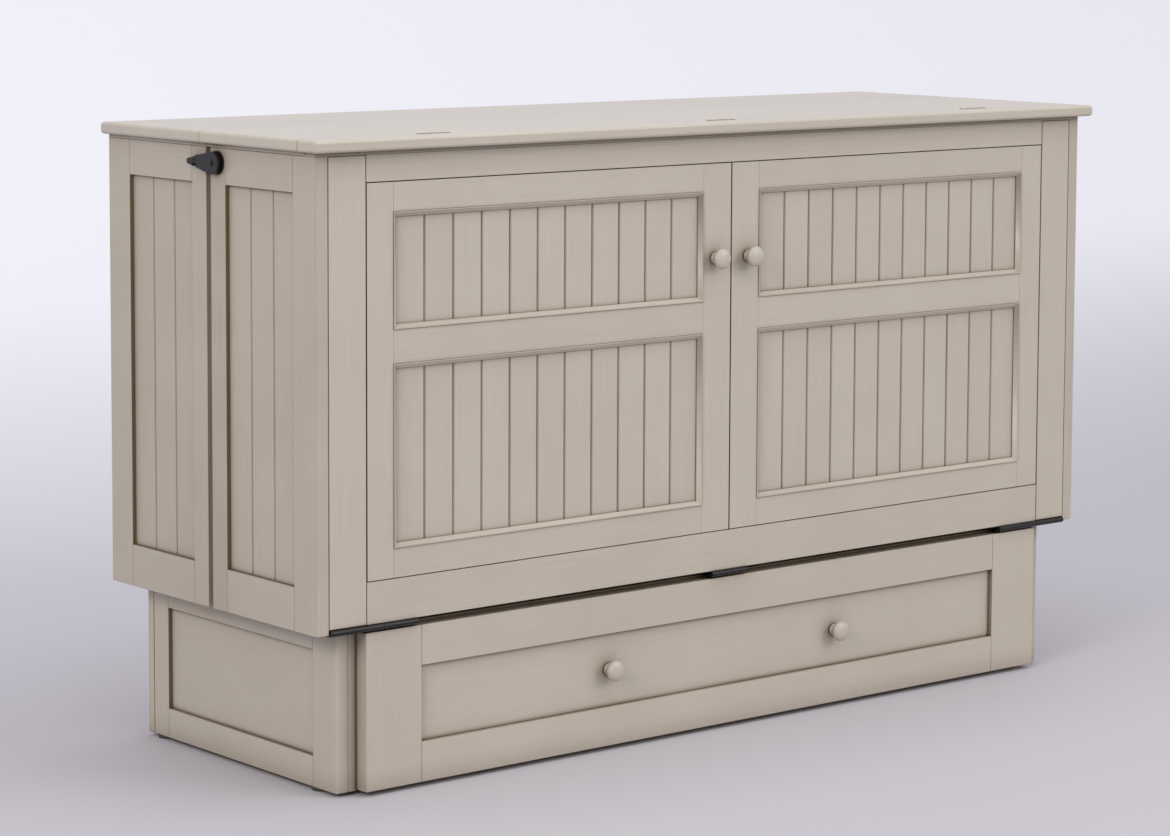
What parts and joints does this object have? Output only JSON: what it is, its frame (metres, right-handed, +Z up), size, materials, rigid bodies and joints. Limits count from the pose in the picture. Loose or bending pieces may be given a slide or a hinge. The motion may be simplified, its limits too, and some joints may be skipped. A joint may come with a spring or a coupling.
{
  "type": "cabinet bed",
  "caption": "Free-standing painted cabinet whose front half folds down into a bed platform, with a flap top, a stowed foot deck on legs, side latches and a full-width drawer below.",
  "frame": {"origin": "on the floor, under the centre of the closed cabinet's bounding box", "axes": "+Z up, the front faces -Y, +X to the right of someone facing the front"},
  "size_m": [1.672, 0.601, 1.0028],
  "materials": {
    "painted_timber": "cream paint rubbed through with a brown glaze in the joints, satin",
    "painted_ply": "cream paint, plain",
    "bare_ply": "clear-sealed plywood",
    "bare_pine": "planed softwood, sealed",
    "black_iron": "black enamelled steel",
    "zinc_steel": "zinc-plated pressed steel",
    "painted_steel": "steel painted over with the top",
    "grey_plastic": "moulded polyethylene"
  },
  "bodies": {
    "cabinet": {"rear_top": "painted_timber", "rear_side_frame_left": "painted_timber", "rear_side_frame_right": "painted_timber", "rear_side_boards": "painted_timber", "case_back": "painted_ply", "head_deck": "bare_ply", "head_deck_bearers": "bare_pine", "head_deck_joist": "bare_pine", "base_side_frame_left": "painted_timber", "base_side_frame_right": "painted_timber", "base_side_panels": "painted_timber", "base_jambs": "painted_timber", "base_back": "painted_ply", "hinge_rail": "painted_timber", "floor_rails": "bare_pine", "floor_glides": "grey_plastic", "runner_fixed_channels": "zinc_steel", "runner_packers": "bare_pine", "front_hinge_lower": "black_iron", "front_hinge_pins": "black_iron", "latch_keepers": "black_iron"},
    "folding_front": {"front_nosing": "painted_timber", "flap_hinge_front_leaves": "painted_steel", "front_side_frame_left": "painted_timber", "front_side_frame_right": "painted_timber", "front_side_boards": "painted_timber", "front_posts": "painted_timber", "front_top_rail": "painted_timber", "front_bottom_rail": "painted_timber", "door_frame_left": "painted_timber", "door_frame_right": "painted_timber", "door_boards": "painted_timber", "door_mouldings": "painted_timber", "door_knobs": "painted_timber", "front_deck": "bare_ply", "front_battens": "bare_pine", "deck_hinge_fixed": "zinc_steel", "deck_hinge_pins": "zinc_steel", "front_hinge_upper": "black_iron", "latch_bases": "black_iron"},
    "flap": {"top_flap": "painted_timber", "flap_hinge_back_leaves": "painted_steel"},
    "foot_section": {"foot_deck": "bare_ply", "deck_hinge_moving": "zinc_steel", "leg_brackets": "zinc_steel", "leg_pins": "zinc_steel"},
    "foot_legs": {"foot_leg_frame": "bare_pine", "foot_leg_pads": "grey_plastic"},
    "drawer": {"drawer_front_frame": "painted_timber", "drawer_front_panel": "painted_timber", "drawer_knobs": "painted_timber", "drawer_sides": "bare_pine", "drawer_back": "bare_pine", "drawer_floor": "bare_ply", "drawer_floor_stiffener": "bare_pine", "runner_drawer_channels": "zinc_steel"},
    "runner_slides": {"runner_middle_channels": "zinc_steel"},
    "latch_left": {"latch_lever_left": "black_iron"},
    "latch_right": {"latch_lever_right": "black_iron"}
  },
  "joints": [
    {"name": "front_fold", "type": "hinge", "parent": "cabinet", "child": "folding_front", "pos_m": [0, -0.2735, 0.261], "axis": [1, 0, 0], "range_deg": [0, 90]},
    {"name": "flap_turn", "type": "hinge", "parent": "folding_front", "child": "flap", "pos_m": [0, -0.2455, 1.0013], "axis": [1, 0, 0], "range_deg": [0, 180]},
    {"name": "foot_unfold", "type": "hinge", "parent": "folding_front", "child": "foot_section", "pos_m": [0, -0.224, 0.955], "axis": [1, 0, 0], "range_deg": [0, 180]},
    {"name": "foot_leg_swing", "type": "hinge", "parent": "foot_section", "child": "foot_legs", "pos_m": [0, -0.1875, 0.37], "axis": [-1, 0, 0], "range_deg": [0, 90]},
    {"name": "drawer_slide", "type": "slide", "parent": "cabinet", "child": "drawer", "axis": [0, -1, 0], "range_m": [0, 0.457]},
    {"name": "runner_slide", "type": "slide", "parent": "cabinet", "child": "runner_slides", "axis": [0, -1, 0], "range_m": [0, 0.2285]},
    {"name": "latch_left_turn", "type": "hinge", "parent": "folding_front", "child": "latch_left", "pos_m": [-0.8225, -0.014, 0.953], "axis": [1, 0, 0], "range_deg": [0, 18]},
    {"name": "latch_right_turn", "type": "hinge", "parent": "folding_front", "child": "latch_right", "pos_m": [0.8225, -0.014, 0.953], "axis": [1, 0, 0], "range_deg": [0, 18]}
  ],
  "couplings": [
    {"joint": "flap_turn", "follows": "front_fold", "ratio": 2},
    {"joint": "foot_unfold", "follows": "front_fold", "ratio": 2},
    {"joint": "runner_slide", "follows": "drawer_slide", "ratio": 0.5}
  ]
}
